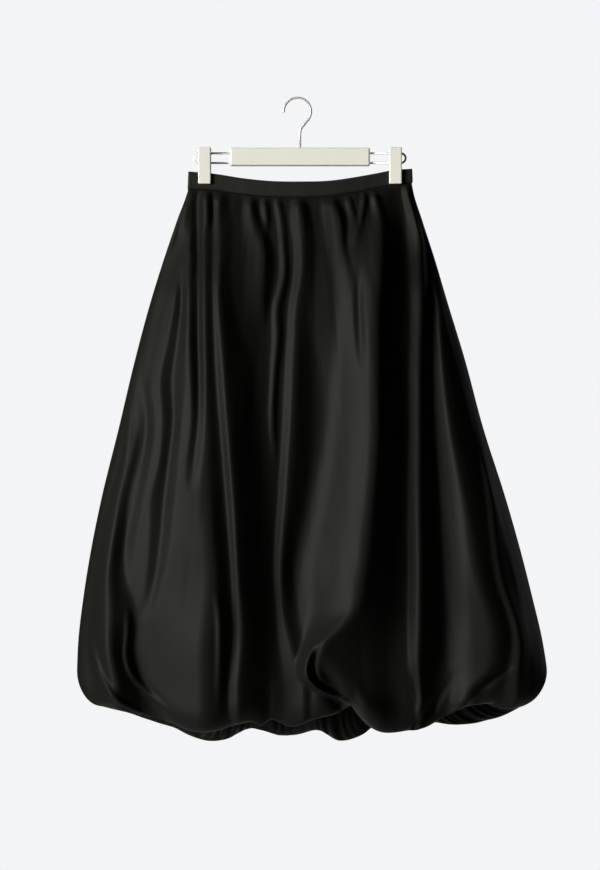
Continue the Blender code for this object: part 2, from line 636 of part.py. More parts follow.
def build_hanger(parts, cutters):
    wire_object("hanger_hook", hook_points(), WIRE, material("hanger_hook", *STEEL), parts)
    bar = box_object("hanger_bar", (MIDDLE_X, 0, -BAR_TOP - BAR_HEIGHT / 2),
                     (BAR_WIDTH, BAR_DEPTH, BAR_HEIGHT), material("hanger_bar", *CREAM_PLASTIC), parts)
    bevelled(bar, BAR_EDGE)
    for side, half in ((-1, "left"), (1, "right")):
        name = "hanger_rod_" + half
        wire_object(name, rod_points(side), ROD, material(name, *STEEL), parts)
        name = "clip_" + half
        clip_object(name, MIDDLE_X + side * CLIP_X, material(name, *CREAM_PLASTIC), parts, cutters)


def main():
    for old in list(bpy.data.objects):
        bpy.data.objects.remove(old)
    parts = collection_named("balloon_skirt")
    cutters = collection_named("cutters")
    build_skirt(parts)
    build_hanger(parts, cutters)


main()
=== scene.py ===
"""Looks of the balloon skirt on its clip hanger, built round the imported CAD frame.

The cloth's form comes from rings at each height, as in the part's own source. Folds close to the part's lift
it, and pinches draw it in at the rolled hem. It is divided finely enough for the small creases and gathers
that only show here.
Tables are in millimetres. Heights are drops below the hook's inner top, and x is counted from the skirt's
middle line.
"""

import math
from collections import namedtuple

import bmesh
import bpy
import numpy as np
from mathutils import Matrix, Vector


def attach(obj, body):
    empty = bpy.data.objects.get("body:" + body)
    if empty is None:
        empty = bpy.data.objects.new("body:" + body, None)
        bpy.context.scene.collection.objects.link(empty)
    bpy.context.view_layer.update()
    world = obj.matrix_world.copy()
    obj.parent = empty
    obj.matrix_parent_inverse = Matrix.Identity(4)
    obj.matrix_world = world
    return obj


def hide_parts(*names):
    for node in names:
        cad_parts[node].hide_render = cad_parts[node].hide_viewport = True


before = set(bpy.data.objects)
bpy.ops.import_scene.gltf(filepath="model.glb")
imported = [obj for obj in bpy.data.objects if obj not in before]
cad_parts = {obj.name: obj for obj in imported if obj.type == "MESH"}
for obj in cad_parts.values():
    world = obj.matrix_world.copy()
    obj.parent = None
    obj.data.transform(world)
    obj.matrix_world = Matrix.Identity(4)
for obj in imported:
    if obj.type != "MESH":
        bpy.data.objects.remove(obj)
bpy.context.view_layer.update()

MM = 0.001
GAP = 0.3
MIDDLE_X = 4.0  # the skirt's middle line and the hook's stem stand this far right of the hook's top

# ---------------------------------------------------------------- cloth walls
SKIRT_WALL = 0.7
BAND_WALL = 2.4

# ---------------------------------------------------------------- rings: half-widths and depths at each drop
Section = namedtuple("Section", "drop left right front back")
SKIRT_SECTIONS = [
    Section(120, 166, 167, 9, 8),
    Section(136, 168, 169, 9, 8),
    Section(182, 184, 183, 16, 13),
    Section(241, 204, 202, 27, 19),
    Section(302, 223, 220, 37, 25),
    Section(391, 247, 247, 50, 33),
    Section(492, 271, 274, 60, 40),
    Section(602, 298, 309, 68, 46),
    Section(676, 313, 330, 72, 50),
    Section(751, 325, 349, 75, 52),
    Section(811, 332, 363, 77, 54),
    Section(856, 334, 370, 78, 55),
    Section(960, 334, 370, 78, 55),
]
INNER_HEM_SECTIONS = [Section(820, 231, 245, 38, 22), Section(860, 232, 246, 38, 22)]
BAND_SECTIONS = [Section(100, 166, 167, 9, 8), Section(150, 168, 169, 9, 8)]
WAIST_DROP = 136.0
OPEN_DROP = 300.0
PINCH_POWER = 4.0
SKIRT_OPEN_POWER = 1.0
INNER_HEM_POWER = 0.6
SKIRT_EDGE_RADIUS = (2.6, 12.0)
INNER_HEM_EDGE_RADIUS = (8.0, 8.0)
BAND_EDGE_RADIUS = (2.0, 2.0)
SEAM_STRIP = 3.0
SEAM_LIP = 0.4
EDGE_STEPS = 40

# ---------------------------------------------------------------- waistband edges and hem
Edge = namedtuple("Edge", "x drop")
BAND_TOP = [
    Edge(-168, 109), Edge(-126, 113), Edge(-90, 119), Edge(-45, 124), Edge(0, 125),
    Edge(45, 123.5), Edge(80, 118.5), Edge(110, 113), Edge(145, 106.5), Edge(169, 105),
]
BAND_SEAM = [
    Edge(-168, 135), Edge(-127, 137), Edge(-100, 141), Edge(-60, 146), Edge(0, 148),
    Edge(60, 144.5), Edge(90, 139), Edge(120, 133), Edge(147, 128.5), Edge(169, 125),
]
HEM_FRONT = [
    Edge(-285, 908), Edge(-250, 908), Edge(-206, 917), Edge(-166, 930), Edge(-140, 939), Edge(-112, 937),
    Edge(-81, 927), Edge(-62, 926), Edge(-54, 932), Edge(-44, 924), Edge(-15, 933), Edge(18, 921),
    Edge(48, 912), Edge(66, 901), Edge(77, 917), Edge(94, 935), Edge(134, 940), Edge(162, 934),
    Edge(181, 921), Edge(202, 908), Edge(228, 901), Edge(250, 901), Edge(272, 909), Edge(303, 905),
]
HEM_BACK = [
    Edge(-285, 908), Edge(-250, 920), Edge(-200, 938), Edge(-172, 950), Edge(-136, 966), Edge(-109, 968),
    Edge(-64, 950), Edge(-30, 961), Edge(0, 960), Edge(20, 953), Edge(53, 969), Edge(80, 960),
    Edge(100, 946), Edge(150, 938), Edge(203, 943), Edge(238, 940), Edge(270, 928), Edge(303, 905),
]
HEM_RADIUS_MIDDLE = 34.0
HEM_RADIUS_SIDE = 54.0
HEM_RADIUS_POWER = 5
HEM_END_DROP = 832.0
HEM_ROLL_SHARE = 0.8
HEM_END_STRIP = 8.0

# ---------------------------------------------------------------- folds
# A fold runs down through its stations. It rises from left to crest and falls again to right.
# Grooves are negative.
Station = namedtuple("Station", "drop left crest right height")
FRONT_FOLDS = {
    "left_edge": [
        Station(440, -272, -262, -250, 0), Station(511, -268, -257, -240, 4),
        Station(614, -292, -274, -257, 8), Station(717, -314, -287, -256, 15),
        Station(776, -320, -287, -240, 24), Station(820, -322, -286, -248, 28),
        Station(878, -316, -276, -236, 28),
    ],
    "left_hill": [
        Station(150, -182, -144, -70, 7), Station(199, -190, -144, -60, 13),
        Station(304, -222, -144, -47, 24), Station(408, -247, -143, -47, 24),
        Station(511, -262, -141, -45, 24), Station(614, -280, -142, -37, 26),
        Station(658, -275, -136, -36, 29), Station(717, -268, -130, -35, 30),
        Station(776, -255, -137, -34, 32), Station(805, -246, -141, -34, 33),
        Station(878, -236, -143, -29, 31),
    ],
    "left_ridge": [
        Station(150, -133, -121, -104, 5), Station(199, -131, -120, -98, 5),
        Station(304, -132, -120, -98, 5), Station(408, -128, -112, -64, 10.5),
        Station(511, -120, -105, -54, 13), Station(614, -112, -97, -40, 14),
        Station(717, -105, -91, -35, 13), Station(805, -106, -84, -34, 12),
        Station(878, -110, -91, -29, 12),
    ],
    "second_ridge": [
        Station(735, -132, -124, -116, 0), Station(776, -129, -119, -110, 6),
        Station(840, -128, -119, -108, 5), Station(910, -130, -121, -110, 0),
    ],
    "centre_valley": [
        Station(150, -120, -30, 60, -1), Station(199, -130, -28, 70, -3), Station(304, -144, -5, 85, -8),
        Station(408, -143, 24, 92, -15), Station(511, -141, 26, 95, -19), Station(614, -148, 6, 90, -22),
        Station(717, -150, -10, 76, -22), Station(805, -143, -15, 40, -18), Station(878, -144, -5, 30, -12),
    ],
    "middle_thin": [
        Station(142, -44, -37, -29, 5), Station(177, -38, -29, -19, 3.5), Station(221, -34, -25, -15, 4),
        Station(266, -34, -24, -15, 4.5), Station(290, -39, -29, -18, 4.5),
        Station(304, -43, -33, -21, 4.5), Station(363, -45, -34, -24, 4.5), Station(408, -47, -38, -30, 4),
        Station(490, -50, -41, -33, 3.5), Station(550, -46, -37, -29, 0),
    ],
    "middle": [
        Station(142, -14, -5, 10, 7), Station(177, -19, 2, 20, 8), Station(221, -12, 4, 27, 7.5),
        Station(245, -11, 4, 27, 7.5), Station(266, -12, 2, 26, 7.5), Station(304, -19, -4, 24, 8),
        Station(363, -23, -7, 26, 8.5), Station(408, -26, -9, 28, 9.5), Station(481, -29, -12, 28, 10.5),
        Station(540, -32, -16, 24, 11), Station(599, -36, -20, 17, 11), Station(717, -42, -28, -8, 9),
        Station(776, -37, -24, 2, 8), Station(820, -36, -13, 9, 10), Station(878, -28, 4, 18, 8),
    ],
    "right_panel": [
        Station(142, 28, 118, 156, 5), Station(177, 30, 120, 157, 9), Station(199, 34, 121, 157, 15),
        Station(245, 40, 120, 157, 25), Station(304, 44, 115, 156, 28), Station(408, 43, 113, 155, 32),
        Station(511, 36, 113, 155, 35), Station(614, 20, 104, 154, 38), Station(717, -2, 91, 154, 40),
        Station(776, 6, 74, 154, 41), Station(805, 4, 43, 154, 41), Station(830, -4, 18, 154, 41),
        Station(850, -8, 12, 154, 40), Station(868, -3, 16, 154, 39), Station(882, 12, 32, 154, 37),
        Station(895, 38, 58, 154, 35), Station(908, 58, 80, 154, 33),
    ],
    "right_narrow": [
        Station(128, 148, 160, 176, 6), Station(150, 150, 168, 184, 9), Station(177, 154, 177, 190, 12),
        Station(221, 155, 180, 196, 12), Station(245, 156, 181, 197, 11.5), Station(304, 160, 183, 198, 11),
        Station(363, 160, 181, 197, 10.5), Station(408, 159, 180, 196, 10.5),
        Station(511, 159, 180, 197, 11.5), Station(614, 158, 179, 204, 13), Station(717, 159, 179, 212, 16),
        Station(805, 158, 178, 210, 16), Station(850, 160, 177, 200, 13), Station(880, 166, 179, 194, 10),
        Station(905, 172, 181, 190, 8),
    ],
    "right_valley": [
        Station(408, 177, 198, 212, -3), Station(511, 176, 200, 226, -7), Station(614, 176, 206, 240, -10),
        Station(717, 176, 211, 252, -12), Station(805, 176, 212, 260, -12), Station(878, 175, 206, 262, -9),
    ],
    "right_broad": [
        Station(245, 190, 198, 210, 0), Station(304, 199, 207, 240, 6), Station(363, 199, 211, 270, 9),
        Station(481, 200, 225, 330, 17), Station(599, 208, 248, 370, 24), Station(717, 210, 268, 400, 30),
        Station(805, 214, 292, 420, 31), Station(850, 212, 288, 420, 28), Station(880, 204, 272, 420, 24),
        Station(905, 192, 250, 420, 20),
    ],
    "right_edge": [
        Station(440, 246, 258, 270, 0), Station(481, 256, 267, 280, 4), Station(599, 274, 286, 302, 6),
        Station(717, 288, 301, 320, 6), Station(805, 312, 327, 346, 10), Station(878, 300, 326, 348, 13),
    ],
}
# Small grooves and ridges between the folds.
FRONT_CREASES = {
    "beside_ridge": [
        Station(150, -143, -132, -121, -1), Station(177, -143, -132, -121, -2),
        Station(221, -143, -131, -120, -3), Station(304, -143, -131, -120, -3),
        Station(408, -143, -129, -112, -3), Station(511, -141, -123, -105, -3),
        Station(614, -136, -116, -97, -3), Station(717, -126, -108, -91, -3),
        Station(805, -118, -106, -84, -4), Station(878, -122, -109, -91, -3),
    ],
    "between_second_and_third": [
        Station(142, -167, -154, -145, -5), Station(199, -167, -153, -143, -10),
        Station(304, -167, -152, -142, -11), Station(363, -167, -152, -141, -12),
        Station(423, -165, -151, -139, -10), Station(481, -163, -152, -139, -6),
        Station(540, -170, -158, -144, -4), Station(590, -174, -163, -150, 0),
    ],
    "between_first_and_second": [
        Station(250, -188, -178, -168, 0), Station(304, -189, -177, -167, -7),
        Station(363, -200, -183, -168, -8), Station(423, -212, -191, -168, -10),
        Station(481, -208, -189, -174, -9), Station(540, -212, -196, -178, -8),
        Station(599, -226, -203, -184, -9), Station(658, -228, -208, -190, -7),
        Station(717, -232, -216, -200, -5), Station(780, -246, -232, -220, 0),
    ],
    "left_line": [
        Station(760, -264, -257, -250, 0), Station(795, -265, -257, -249, 5),
        Station(840, -266, -258, -249, 7), Station(865, -258, -249, -240, 7),
        Station(885, -244, -234, -225, 6), Station(905, -222, -212, -202, 4),
        Station(925, -200, -190, -180, 0),
    ],
    "left_corner": [
        Station(800, -322, -314, -306, 0), Station(835, -316, -307, -298, 6),
        Station(870, -304, -294, -284, 9), Station(893, -290, -279, -268, 9),
        Station(912, -266, -254, -243, 7), Station(930, -240, -228, -216, 0),
    ],
    "twist_lip": [
        Station(800, 26, 36, 44, 0), Station(828, 6, 15, 21, 4), Station(850, 0, 9, 15, 7),
        Station(868, 4, 13, 20, 7), Station(881, 18, 28, 36, 6), Station(892, 38, 49, 57, 5),
        Station(902, 56, 66, 74, 3), Station(912, 66, 76, 84, 0),
    ],
    "twist_hollow": [
        Station(812, 22, 31, 39, 0), Station(830, 15, 22, 29, -8), Station(850, 10, 18, 26, -13),
        Station(868, 14, 23, 33, -15), Station(881, 28, 39, 50, -13), Station(892, 48, 59, 70, -8),
        Station(902, 66, 74, 82, -3), Station(910, 70, 78, 86, 0),
    ],
    "leaf_hollow": [
        Station(845, 166, 171, 176, 0), Station(866, 166, 171, 177, -4), Station(890, 170, 175, 181, -5),
        Station(908, 175, 179, 184, -3), Station(922, 177, 181, 185, 0),
    ],
    "right_crease": [
        Station(842, 304, 316, 326, 0), Station(856, 284, 300, 314, -6), Station(870, 266, 282, 298, -9),
        Station(884, 252, 266, 280, -6), Station(896, 244, 256, 268, 0),
    ],
    "beside_left_edge": [
        Station(400, -256, -240, -226, 0), Station(481, -246, -230, -216, -5),
        Station(599, -268, -248, -230, -4), Station(717, -290, -270, -250, -3),
        Station(770, -286, -266, -250, 0),
    ],
}
# Small pleats that the gathering makes just below the waist seam, dying out downwards, and one dip
# between two of the front's folds.
WAIST_GATHERS = {
    "first": [
        Station(142, -182, -174, -165, 3), Station(180, -183, -174, -165, 3),
        Station(215, -184, -175, -166, 0),
    ],
    "second": [
        Station(142, -149, -140, -131, 4), Station(172, -147, -138, -129, 5),
        Station(205, -146, -137, -128, 0),
    ],
    "third": [
        Station(142, -84, -76, -68, 5), Station(177, -90, -71, -58, 7), Station(221, -90, -56, -38, 9),
        Station(266, -90, -54, -37, 8), Station(304, -88, -56, -42, 5), Station(350, -88, -56, -42, 0),
    ],
    "fourth": [
        Station(142, -62, -56, -50, 4), Station(177, -61, -50, -42, 4), Station(205, -61, -50, -42, 0),
    ],
    "fifth": [
        Station(142, 26, 42, 54, 6), Station(177, 26, 58, 70, 8), Station(221, 34, 62, 72, 5),
        Station(266, 42, 70, 84, 2), Station(304, 44, 70, 84, 0),
    ],
    "sixth": [
        Station(142, 62, 70, 77, 4), Station(177, 68, 80, 88, 3), Station(205, 68, 82, 92, 2),
        Station(235, 68, 78, 88, 0),
    ],
    "seventh": [
        Station(138, 91, 98, 104, 5), Station(177, 85, 92, 99, 4), Station(225, 74, 82, 91, 0),
    ],
    "eighth": [
        Station(138, 102, 110, 117, 5), Station(177, 104, 119, 134, 5), Station(221, 98, 121, 136, 3),
        Station(266, 94, 118, 134, 1), Station(304, 92, 112, 124, 0),
    ],
    "dip": [
        Station(245, 80, 89, 100, 0), Station(304, 78, 88, 98, -4), Station(363, 80, 90, 100, -3),
        Station(410, 84, 92, 102, 0),
    ],
}
BACK_FOLDS = {
    "left_edge": [
        Station(300, -256, -232, -216, 0), Station(450, -276, -252, -232, 8),
        Station(600, -292, -262, -242, 12), Station(900, -306, -272, -248, 13),
    ],
    "left_broad": [
        Station(150, -170, -150, -134, 10), Station(450, -218, -184, -162, 18),
        Station(900, -250, -204, -178, 22),
    ],
    "left_narrow": [
        Station(150, -122, -104, -90, 10), Station(380, -134, -112, -96, 10),
        Station(600, -150, -127, -108, 6), Station(720, -160, -136, -116, 0),
    ],
    "left_middle": [
        Station(150, -84, -62, -44, 12), Station(460, -102, -70, -44, 20), Station(930, -140, -96, -60, 26),
    ],
    "middle_thin": [
        Station(150, -34, -18, -6, 8), Station(300, -38, -22, -8, 7), Station(520, -48, -30, -16, 0),
    ],
    "middle": [
        Station(150, 6, 30, 50, 12), Station(480, -14, 26, 58, 22), Station(930, -44, 12, 52, 28),
    ],
    "right_thin": [
        Station(150, 62, 78, 90, 8), Station(330, 70, 88, 102, 8), Station(600, 74, 96, 112, 0),
    ],
    "right_middle": [
        Station(150, 98, 120, 138, 12), Station(460, 98, 132, 160, 18), Station(930, 82, 128, 162, 22),
    ],
    "right_broad": [
        Station(160, 132, 152, 168, 8), Station(500, 174, 206, 228, 16), Station(900, 188, 232, 260, 20),
    ],
    "right_edge": [
        Station(380, 218, 236, 250, 0), Station(620, 254, 276, 292, 9), Station(890, 274, 300, 318, 12),
    ],
}
# Each slope of a fold is rounded at its foot and at its crest, over a share of its width. The length of the
# rounding is kept between the least and the most, and then to ROUND_MOST of the width.
FOOT_SHARE, FOOT_LEAST, FOOT_MOST = 0.32, 3.0, 26.0
CREST_SHARE, CREST_LEAST, CREST_MOST = 0.24, 3.0, 13.0
ROUND_MOST = 0.45
Pinch = namedtuple("Pinch", "x lean width depth reach")
FRONT_PINCHES = [
    Pinch(-212, -0.6, 18, 9, 60),
    Pinch(-56, 0.1, 10, 15, 70),
    Pinch(66, -0.5, 14, 20, 110),
    Pinch(180, 0.8, 12, 12, 60),
    Pinch(222, 0.2, 14, 9, 70),
    Pinch(264, 0.6, 12, 6, 50),
]
BACK_PINCHES = [
    Pinch(-220, 0.3, 16, 12, 70),
    Pinch(-150, -0.3, 14, 12, 60),
    Pinch(-62, 0.4, 12, 18, 90),
    Pinch(22, -0.4, 12, 16, 80),
    Pinch(104, 0.3, 13, 15, 100),
    Pinch(176, -0.2, 13, 10, 60),
    Pinch(250, 0.4, 14, 12, 60),
]
WAIST_EASE = 5.0
# No groove brings a panel's middle surface nearer than this to the plane between the panels.
LEAST_DEPTH = 1.5
# Folds lift the cloth sideways only where it faces the side seams.
SIDEWAYS_FROM, SIDEWAYS_FULL = 0.6, 0.95
# The folds' places are as they look from this far in front, at this height.
EYE_DISTANCE, EYE_DROP = 3600.0, 504.0
SIDE_EASE = 0.065
HEM_GATHERS = 50
HEM_GATHER_HEIGHT = 3.1
HEM_GATHER_EASE = 0.1
HEM_GATHER_START = 0.2  # the gathers begin where the roll's angle has a cosine below this
UNEVEN_HEIGHT, UNEVEN_PERIOD = 0.6, 5.3
UNEVEN_SPACING, SPACING_PERIOD = 1.7, 3.7

# ---------------------------------------------------------------- hanger's wires
WIRE = 3.6
HOOK_RADIUS = 20.4
HOOK_START_DEG, HOOK_END_DEG = 184.0, -38.0
NECK_DROP, NECK_START_SHARE, NECK_LENGTH, NECK_STEPS = 46.0, 0.3, 8.0, 16
BAR_WIDTH, BAR_TOP = 210.0, 73.5
ROD = 3.2
ROD_DROPS = (81.5, 96.0)
ROD_REACH = 160.0
WIRE_STEPS, WIRE_SIDES = 72, 20

# ---------------------------------------------------------------- how finely the cloth is divided
COLUMNS = 280
FALL_ROWS = 140
ROLL_ROWS = 26
RETURN_ROWS = 4
ROWS_LOWER = 0.35  # how much closer the rows lie near the hem than on average
BAND_COLUMNS = 120
BAND_ROWS = 6
TURN_WEIGHT = 22.0
RING_SAMPLES = 721
RING_LEVELS = 140


# ================================================================ curves and rings
def smooth_step(t):
    t = np.clip(t, 0.0, 1.0)
    return t * t * (3.0 - 2.0 * t)


def curve_through(x, xs, ys):
    """A smooth curve through the rows (xs, ys), read at x."""
    xs, ys = np.asarray(xs, float), np.asarray(ys, float)
    slopes = np.gradient(ys, xs)
    x = np.clip(x, xs[0], xs[-1])
    i = np.clip(np.searchsorted(xs, x) - 1, 0, len(xs) - 2)
    h = xs[i + 1] - xs[i]
    t = (x - xs[i]) / h
    start = ys[i] * (1 + 2 * t) * (1 - t) ** 2 + slopes[i] * h * t * (1 - t) ** 2
    end = ys[i + 1] * (3 - 2 * t) * t**2 + slopes[i + 1] * h * t**2 * (t - 1)
    return start + end


def column(rows, name):
    return [getattr(row, name) for row in rows]


def edge_drop(rows, x):
    return curve_through(x, column(rows, "x"), column(rows, "drop"))


def section_at(sections, drop):
    drops = column(sections, "drop")
    return Section(drop, *(float(curve_through(drop, drops, column(sections, name)))
                           for name in ("left", "right", "front", "back")))


def half_ring(sections, drop, edge_radii, open_power, side, fractions):
    """Points and outward normals of the front (side -1) or back (side +1) half of the ring at this drop."""
    section = section_at(sections, drop)
    opened = float(smooth_step((drop - WAIST_DROP) / (OPEN_DROP - WAIST_DROP)))
    radius = edge_radii[0] + (edge_radii[1] - edge_radii[0]) * opened
    power = PINCH_POWER + (open_power - PINCH_POWER) * opened
    half = (section.left + section.right) / 2 - radius
    middle = (section.right - section.left) / 2
    depth = (section.front if side < 0 else section.back)
    angle = np.linspace(-math.pi / 2, math.pi / 2, RING_SAMPLES)
    x = half * np.sin(angle)
    y = side * depth * np.clip(np.cos(angle), 0, 1) ** power
    tangent = np.stack([np.gradient(x), np.gradient(y)])
    heading = np.unwrap(np.arctan2(tangent[1], tangent[0]))
    turn = np.linspace(0, 1, EDGE_STEPS)
    first = side * math.pi / 2 + (heading[0] - side * math.pi / 2) * turn
    last = heading[-1] + (-side * math.pi / 2 - heading[-1]) * turn
    heading = np.concatenate([first, heading, last])
    x = np.concatenate([np.full(EDGE_STEPS, x[0]), x, np.full(EDGE_STEPS, x[-1])])
    y = np.concatenate([np.full(EDGE_STEPS, y[0]), y, np.full(EDGE_STEPS, y[-1])])
    normal = np.stack([-side * np.sin(heading), side * np.cos(heading)])
    x = middle + x + radius * normal[0]
    y = y + radius * normal[1]
    step = np.hypot(np.diff(x), np.diff(y)) + TURN_WEIGHT * np.abs(np.diff(heading))
    along = np.concatenate([[0.0], np.cumsum(step)])
    along /= along[-1]
    ring = np.stack([np.interp(fractions, along, values) for values in (x, y, normal[0], normal[1])], axis=1)
    ring[:, 1] += side * (GAP / 2 + SEAM_LIP)
    ends = ring[[0, -1]]
    ends[:, 1] = side * GAP / 2
    return np.concatenate([ends[:1], ring, ends[1:]])


class Rings:
    """Half rings of one piece at many levels, read at any drop, column by column."""

    def __init__(self, sections, edge_radii, open_power, side, columns):
        spread = np.linspace(0.0, 1.0, columns - 1)
        self.fractions = np.concatenate([[0.0], spread, [1.0]])
        self.levels = np.linspace(sections[0].drop, sections[-1].drop, RING_LEVELS)
        self.rings = np.stack([half_ring(sections, level, edge_radii, open_power, side, spread)
                               for level in self.levels])

    def at(self, drops):
        """drops holds one drop for each column. Returns a row of x, y, normal x, normal y for each column."""
        place = np.interp(drops, self.levels, np.arange(RING_LEVELS))
        low = np.clip(place.astype(int), 0, RING_LEVELS - 2)
        share = (place - low)[:, None]
        j = np.arange(len(self.fractions))
        return self.rings[low, j] * (1 - share) + self.rings[low + 1, j] * share


# ================================================================ folds
def rounded_ramp(t, width):
    """From 0 to 1 on an even slope of this width, rounded at both ends."""
    t = np.clip(t, 0, 1)
    foot = np.minimum(np.clip(FOOT_SHARE * width, FOOT_LEAST, FOOT_MOST) / width, ROUND_MOST)
    crest = np.minimum(np.clip(CREST_SHARE * width, CREST_LEAST, CREST_MOST) / width, ROUND_MOST)
    steep = 1 / (1 - foot / 2 - crest / 2)
    middle = steep * (t - foot / 2)
    return np.where(t < foot, steep * t**2 / (2 * foot),
                    np.where(t > 1 - crest, 1 - steep * (1 - t) ** 2 / (2 * crest), middle))


def fold_height(stations, x, drop):
    """How far one fold lifts the cloth at x and drop."""
    drops = column(stations, "drop")
    left, crest, right, height = (curve_through(drop, drops, column(stations, name))
                                  for name in ("left", "crest", "right", "height"))
    width = np.where(x < crest, crest - left, right - crest)
    return height * rounded_ramp(1 - np.abs(x - crest) / width, width)


def pinch_depth(pinch, x, above_hem):
    """How far one pinch draws the cloth in, at x and this high above the hem."""
    away = (x - pinch.x - pinch.lean * above_hem) / pinch.width
    return pinch.depth * np.exp(-away**2) * smooth_step(1 - above_hem / pinch.reach)


def relief(folds, pinches, x, drop, seam_drop, hem_drop, side_share):
    """All folds and pinches together, flat at the waist seam and at the side seams."""
    total = sum(fold_height(stations, x, drop) for stations in folds.values())
    total = total - sum(pinch_depth(pinch, x, hem_drop - drop) for pinch in pinches)
    waist = smooth_step((drop - seam_drop) / WAIST_EASE)
    side = smooth_step((1 - np.abs(side_share)) / SIDE_EASE)
    return total * waist * side


# ================================================================ cloth pieces
def skirt_points(side, folds, pinches, hem):
    """The grid of a panel, down from the waist seam, round the hem and up inside to its gathered end."""
    rings = Rings(SKIRT_SECTIONS, SKIRT_EDGE_RADIUS, SKIRT_OPEN_POWER, side, COLUMNS)
    inner = Rings(INNER_HEM_SECTIONS, INNER_HEM_EDGE_RADIUS, INNER_HEM_POWER, side, COLUMNS)
    end = inner.at(np.full(COLUMNS + 1, HEM_END_DROP))
    low = rings.at(np.full(COLUMNS + 1, HEM_END_DROP))
    hem_x = (low[:, 0] + end[:, 0]) / 2
    hem_drop = edge_drop(hem, hem_x)
    top = rings.at(np.full(COLUMNS + 1, WAIST_DROP))
    top_drop = edge_drop(BAND_SEAM, top[:, 0]) + GAP
    share_along = np.abs(2 * rings.fractions - 1)
    radius = HEM_RADIUS_MIDDLE + (HEM_RADIUS_SIDE - HEM_RADIUS_MIDDLE) * share_along**HEM_RADIUS_POWER
    turn_drop = hem_drop - radius

    def outside(drops):
        ring = rings.at(drops)
        half_width = np.where(ring[:, 0] < 0, -ring[0, 0], ring[-1, 0])
        depth = side * ring[:, 1]
        nearer = 1 + depth / EYE_DISTANCE
        height = relief(folds, pinches, ring[:, 0] * nearer, EYE_DROP + (drops - EYE_DROP) * nearer, top_drop,
                        hem_drop, ring[:, 0] / half_width)
        facing = np.abs(ring[:, 2])
        sideways = ring[:, 2] * smooth_step((facing - SIDEWAYS_FROM) / (SIDEWAYS_FULL - SIDEWAYS_FROM))
        lifted = np.maximum(depth + np.sqrt(1 - sideways**2) * height, np.minimum(LEAST_DEPTH, depth))
        return ring[:, 0] + sideways * height, side * lifted

    x, y = outside(top_drop)
    rows = [np.stack([x, y, -top_drop], axis=1)]
    for t in np.linspace(0, 1, FALL_ROWS + 1):
        share = t * (1 + ROWS_LOWER - ROWS_LOWER * t)
        drops = top_drop + SEAM_STRIP + (turn_drop - top_drop - SEAM_STRIP) * share
        if t > 0:  # the first row below the seam keeps the seam's own x and y
            x, y = outside(drops)
        rows.append(np.stack([x, y, -drops], axis=1))
    sideways = rings.at(turn_drop)[:, 2] ** 2
    wave = 2 * math.pi * HEM_GATHERS * rings.fractions
    uneven = 1 + UNEVEN_HEIGHT * np.sin(wave / UNEVEN_PERIOD)
    swayed = wave + UNEVEN_SPACING * np.sin(wave / SPACING_PERIOD)
    side_ease = smooth_step((1 - share_along) / HEM_GATHER_EASE) * (1 - sideways) ** 2
    gather = HEM_GATHER_HEIGHT * uneven * np.sin(swayed) * side_ease
    for angle in np.linspace(0, math.pi, ROLL_ROWS + 1)[1:]:
        share = HEM_ROLL_SHARE * (1 - math.cos(angle)) / 2
        drops = turn_drop + radius * math.sin(angle)
        outer_x, outer_y = outside(turn_drop + radius * math.sin(min(angle, math.pi / 2)))
        x = outer_x + (end[:, 0] - outer_x) * share * (sideways + (1 - sideways) * share)
        y = outer_y + (end[:, 1] - outer_y) * share
        y = y + gather * smooth_step(HEM_GATHER_START - math.cos(angle))
        rows.append(np.stack([x, y, -drops], axis=1))
    rolled = rows[-1]
    sewn = np.stack([end[:, 0], end[:, 1], np.full(COLUMNS + 1, -HEM_END_DROP)], axis=1)
    below = sewn - [0, 0, HEM_END_STRIP]
    for t in np.linspace(0, 1, RETURN_ROWS + 1)[1:]:
        rows.append(rolled + (below - rolled) * t)
    rows.append(sewn)
    return np.stack(rows)


def band_points(side):
    rings = Rings(BAND_SECTIONS, BAND_EDGE_RADIUS, SKIRT_OPEN_POWER, side, BAND_COLUMNS)
    x = rings.at(np.full(BAND_COLUMNS + 1, WAIST_DROP))[:, 0]
    top, low = edge_drop(BAND_TOP, x), edge_drop(BAND_SEAM, x)
    rows = []
    for t in np.linspace(0, 1, BAND_ROWS + 1):
        drops = top + (low - top) * t
        ring = rings.at(drops)
        rows.append(np.stack([ring[:, 0], ring[:, 1], -drops], axis=1))
    return np.stack(rows)


def mesh_object(name, mesh, finish):
    piece = bpy.data.objects.new(name, mesh)
    bpy.context.scene.collection.objects.link(piece)
    mesh.materials.append(finish)
    return piece


def cloth_wall(name, points, side, wall, finish):
    """A wall of cloth on the grid, with its own lengths in metres as UVs."""
    rows, columns = points.shape[:2]
    points = (points + [MIDDLE_X, 0, 0]) * MM
    across = np.linalg.norm(np.diff(points, axis=1), axis=2).mean(axis=0)
    down = np.linalg.norm(np.diff(points, axis=0), axis=2).mean(axis=1)
    u = np.concatenate([[0], np.cumsum(across)])
    v = -np.concatenate([[0], np.cumsum(down)])
    i, j = np.meshgrid(np.arange(rows - 1), np.arange(columns - 1), indexing="ij")
    a = (i * columns + j).ravel()
    faces = np.stack([a, a + columns, a + columns + 1, a + 1], axis=1)
    if side > 0:
        faces = faces[:, ::-1]
    mesh = bpy.data.meshes.new(name)
    mesh.from_pydata(points.reshape(-1, 3).tolist(), [], faces.tolist())
    layer = mesh.uv_layers.new(name="cloth")
    flat = faces.ravel()
    uv = np.stack([u[flat % columns], v[flat // columns]], axis=1)
    layer.data.foreach_set("uv", uv.ravel())
    mesh.shade_smooth()
    piece = mesh_object(name, mesh, finish)
    shell = piece.modifiers.new("Wall", "SOLIDIFY")
    shell.thickness = wall * MM
    shell.offset = 0.0
    return piece


